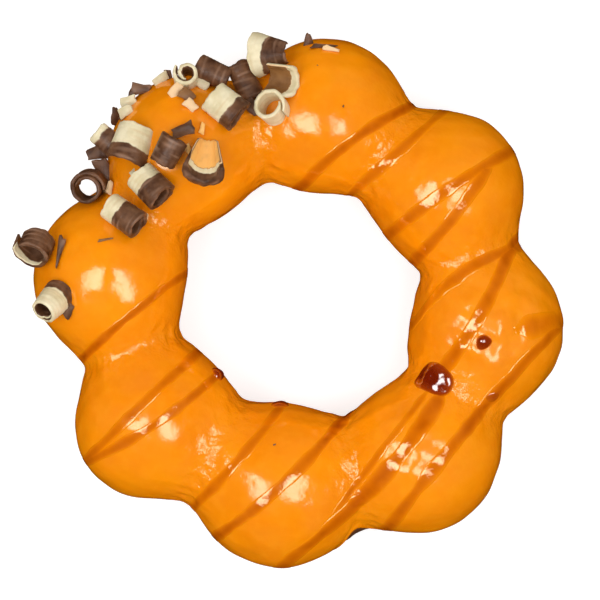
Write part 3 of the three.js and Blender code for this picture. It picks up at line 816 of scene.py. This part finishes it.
def caramel_material(name, **gloss):
    """Clear caramel: orange where it is thin and dark red-brown where it is deep."""
    r = Recipe(name)
    streaky = r.math("MULTIPLY", r.value("depth"), r.span(r.noise(3, 3), 0.3, 0.7, 0.75, 1.15))
    colour = r.ramp(r.span(streaky, 0, 4), (0.02, srgb(246, 140, 2)), (0.14, srgb(224, 116, 2)),
                    (0.25, srgb(204, 98, 0)), (0.4, srgb(164, 58, 0)), (0.8, srgb(122, 28, 0)))
    ripples = r.bump(r.noise(1.5, 2), 0.08)
    roughness = r.span(r.noise(4, 2), 0.3, 0.7, 0.06, 0.12)
    r.feed(r.shader, Base_Color=colour, Normal=ripples, Roughness=roughness, **gloss)
    return r.material


def chocolate_material():
    """Dark and cream chocolate with a ragged edge between them, streaks, and tinted places: real stains,
    painted shade on one curl's lining and painted reflected light on another's.
    """
    r = Recipe("two_tone_chocolate")
    ragged = r.span(r.noise(2.2, 3), 0.3, 0.7, -0.25, 0.25)
    edge = r.math("ADD", r.value("tone"), ragged)
    streak = r.value("streak")
    mottled = r.ramp(r.noise(2.2, 4), (0.3, srgb(64, 33, 14)), (0.7, srgb(122, 82, 54)))
    dark = r.mix(r.span(streak, 0.3, 2.0, 0, 0.6), mottled, srgb(156, 118, 92))
    creamy = r.ramp(r.noise(2.5, 3), (0.3, srgb(208, 192, 150)), (0.7, srgb(234, 221, 186)))
    cream = r.mix(r.span(streak, 0.5, 2.0, 0, 0.4), creamy, srgb(206, 176, 128))
    two_tone = r.mix(r.span(edge, -0.1, 0.1), dark, cream)
    stain = r.value("stain")
    # milk brown is milk chocolate and, on curl_11's lining, painted shade; amber on curl_07's lining is
    # painted orange light reflected from the glaze
    stain_and_light_colour = r.ramp(r.math("MULTIPLY", stain, r.span(r.noise(1.8, 3), 0.3, 0.7, 0.9, 1.1)),
                     (0.3, srgb(236, 198, 150)), (0.42, srgb(116, 74, 36)), (0.6, srgb(166, 118, 68)),
                     (1.0, srgb(242, 182, 98)))
    colour = r.mix(r.span(stain, 0.05, 0.2), two_tone, stain_and_light_colour)
    grain = r.bump(r.noise(0.5, 4), 0.06)
    r.feed(r.shader, Base_Color=colour, Normal=grain, Roughness=r.span(r.noise(1.5, 2), 0.3, 0.7, 0.3, 0.5),
           Specular_IOR_Level=0.5, Subsurface_Weight=0.05, Subsurface_Radius=(1.0, 0.6, 0.35),
           Subsurface_Scale=0.0006)
    return r.material


def floor_material():
    """Nearly even white, bright enough to show no edge."""
    r = Recipe("pale_floor")
    colour = r.ramp(r.noise(40, 2), (0.3, srgb(204, 204, 204)), (0.7, srgb(208, 208, 208)))
    r.feed(r.shader, Base_Color=colour, Roughness=0.9, Specular_IOR_Level=0.1,
           Emission_Color=srgb(255, 255, 255), Emission_Strength=0.62)
    return r.material


# Stage, lights and camera

def make_floor():
    """A flat floor that neither colours the doughnut nor shows in its gloss."""
    half = FLOOR_HALF * MM
    corners = [(-half, -half, 0), (half, -half, 0), (half, half, 0), (-half, half, 0)]
    mesh = bpy.data.meshes.new("floor")
    mesh.from_pydata(corners, [], [(0, 1, 2, 3)])
    mesh.materials.append(floor_material())
    floor = bpy.data.objects.new("floor", mesh)
    bpy.context.scene.collection.objects.link(floor)
    floor.visible_diffuse = False
    floor.visible_glossy = False


def make_lights():
    """The panels overhead, whose layers lie one above the other."""
    inward = np.array((1, -1, 1, -1)) * PANEL_INSET
    for edges in PANELS:
        for layer in range(PANEL_LAYERS):
            left, right, down, up = PANEL_HEIGHT * np.tan(np.radians(edges + layer * inward)) * MM
            light = bpy.data.lights.new("panel", "AREA")
            light.shape = "RECTANGLE"
            light.size, light.size_y = right - left, up - down
            light.energy = PANEL_RADIANCE * np.pi * light.size * light.size_y
            panel = bpy.data.objects.new("panel", light)
            panel.location = ((left + right) / 2, (down + up) / 2, (PANEL_HEIGHT + layer * LAYER_GAP) * MM)
            panel.visible_camera = False
            bpy.context.scene.collection.objects.link(panel)


def make_sky():
    """Even light from above and a dimmer glow from below, left out of the gloss."""
    world = bpy.data.worlds.new("soft_sky")
    world.use_nodes = True
    nodes, links = world.node_tree.nodes, world.node_tree.links
    direction = nodes.new("ShaderNodeTexCoord")
    split = nodes.new("ShaderNodeSeparateXYZ")
    ramp = nodes.new("ShaderNodeValToRGB")
    for element, place, colour in zip(ramp.color_ramp.elements, HORIZON, (GROUND_GLOW, SKY_COLOUR)):
        element.position = place
        element.color = colour
    height = nodes.new("ShaderNodeMapRange")
    height.inputs["From Min"].default_value = -1
    links.new(direction.outputs["Generated"], split.inputs[0])
    links.new(split.outputs[2], height.inputs["Value"])
    links.new(height.outputs[0], ramp.inputs[0])
    links.new(ramp.outputs[0], nodes["Background"].inputs[0])
    world.cycles_visibility.glossy = False
    bpy.context.scene.world = world


def make_camera():
    """A camera straight above, far away, so that the sides hardly show."""
    camera = bpy.data.cameras.new("camera")
    camera.sensor_width = SENSOR
    camera.lens = SENSOR * CAMERA_DISTANCE / VIEW_WIDTH
    held = bpy.data.objects.new("camera", camera)
    held.location = (HOLE_AXIS + (0, VIEW_SHIFT, MIDDLE_HEIGHT + CAMERA_DISTANCE)) * MM
    bpy.context.scene.collection.objects.link(held)
    bpy.context.scene.camera = held


def make_caramel():
    """The lines of drizzle as one piece and the beads as another."""
    thin = caramel_material("thin_caramel", Specular_IOR_Level=1.0, IOR=1.8,
                            Specular_Tint=(1, 0.94, 0.62, 1))
    thick = caramel_material("thick_caramel", Specular_IOR_Level=1.0, IOR=2.0, Coat_Weight=1.0,
                             Coat_Roughness=0.03)
    seeds_to_a_line = len(DRIZZLE_WAVES)
    lines = [drizzle(*row, seed=DRIZZLE_SEED + seeds_to_a_line * k) for k, row in enumerate(DRIZZLES)]
    show("drizzle", *join(lines), ("depth",), thin, "caramel", "doughnut")
    show("beads", *join([bead(*row) for row in BEADS]), ("depth",), thick, "caramel", "doughnut")


def make_chocolate():
    """The splinters and the chips as one piece each, and every curl as a piece of its own."""
    chocolate = chocolate_material()
    splinters = [splinter(*row, seed=SPLINTER_SEED + k) for k, row in enumerate(SPLINTERS)]
    show("splinters", *join(splinters), CHOCOLATE_KEYS, chocolate, "dark_chocolate", "doughnut")
    chips = [chip(*row, seed=CHIP_SEED + k) for k, row in enumerate(CHIPS)]
    show("chips", *join(chips), CHOCOLATE_KEYS, chocolate, "dark_chocolate", "doughnut")
    for number, curl in enumerate(CURLS, 1):
        name = f"curl_{number:02d}"
        strip = curl_strip(curl, seed=CURL_SEED + SEEDS_TO_A_CURL * number)
        show(f"rolled_{name}", *strip, CHOCOLATE_KEYS, chocolate, curl["slot"] + "_chocolate", name)


make_camera()
make_dough(dough_material())
make_glaze(glaze_material())
make_caramel()
make_chocolate()
make_floor()
make_lights()
make_sky()
bpy.context.scene.view_settings.view_transform = "Standard"
bpy.context.view_layer.update()
